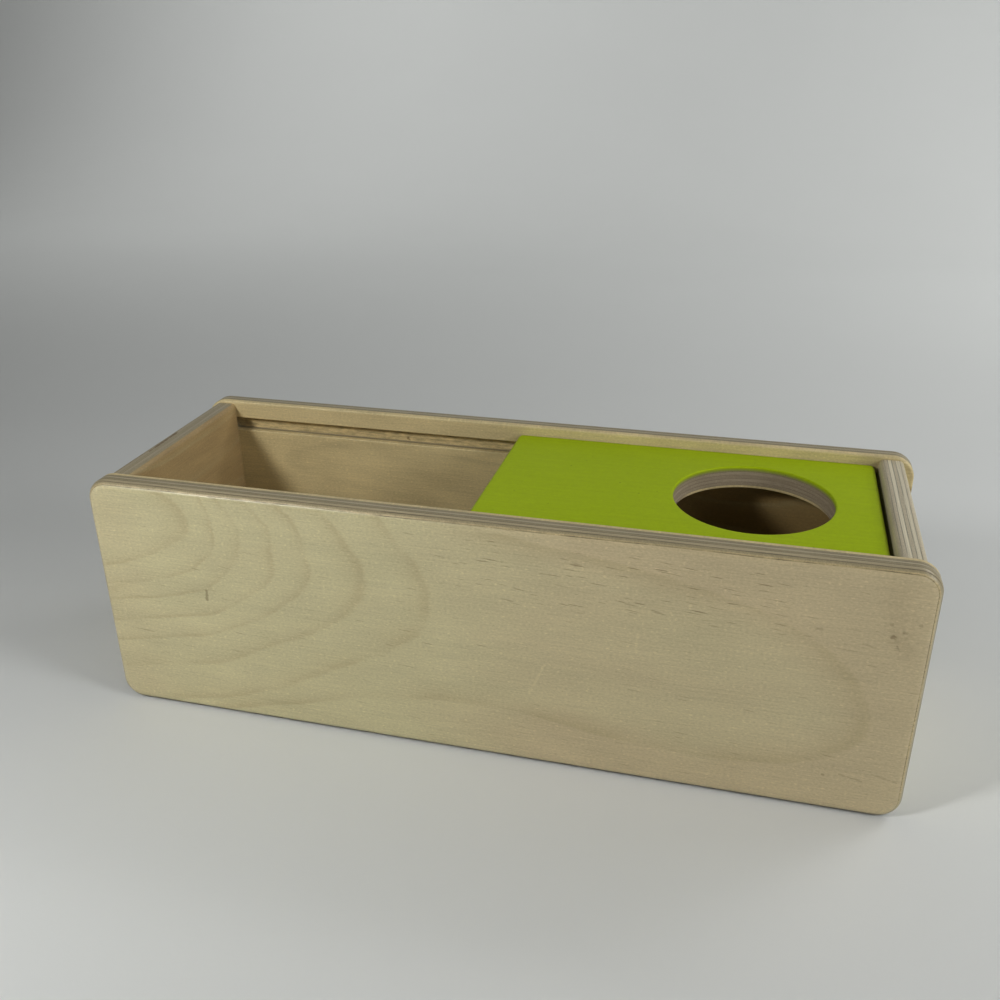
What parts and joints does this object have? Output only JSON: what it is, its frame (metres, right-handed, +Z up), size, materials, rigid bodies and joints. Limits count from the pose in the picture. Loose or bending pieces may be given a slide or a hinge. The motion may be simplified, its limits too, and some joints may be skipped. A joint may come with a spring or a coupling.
{
  "type": "object permanence box",
  "caption": "Long open-topped plywood toy box with rounded side panels and a green grooved-in lid that slides along it and has a round hole for dropping a ball through.",
  "frame": {"origin": "on the table under the middle of the box, midway between the side panels' ends and between their outer faces", "axes": "+X along the box towards the end where the lid rests, +Y from the front side panel to the back one, +Z up"},
  "size_m": [0.3, 0.101, 0.097],
  "materials": {
    "birch_plywood": "clear matt lacquer, plies showing on the rounded edges",
    "green_lacquer": "satin lime green lacquer on the faces, bare plywood in the hole",
    "beech": "bare"
  },
  "bodies": {
    "box": {"front_panel": "birch_plywood", "back_panel": "birch_plywood", "left_end_panel": "birch_plywood", "right_end_panel": "birch_plywood", "floor_panel": "birch_plywood", "front_left_lower_dowel": "beech", "front_left_upper_dowel": "beech", "front_right_lower_dowel": "beech", "front_right_upper_dowel": "beech", "back_left_lower_dowel": "beech", "back_left_upper_dowel": "beech", "back_right_lower_dowel": "beech", "back_right_upper_dowel": "beech"},
    "lid": {"sliding_lid": "green_lacquer"}
  },
  "joints": [
    {"name": "lid_slide", "type": "slide", "parent": "box", "child": "lid", "axis": [1, 0, 0], "range_m": [-0.1305, 0.001]}
  ]
}
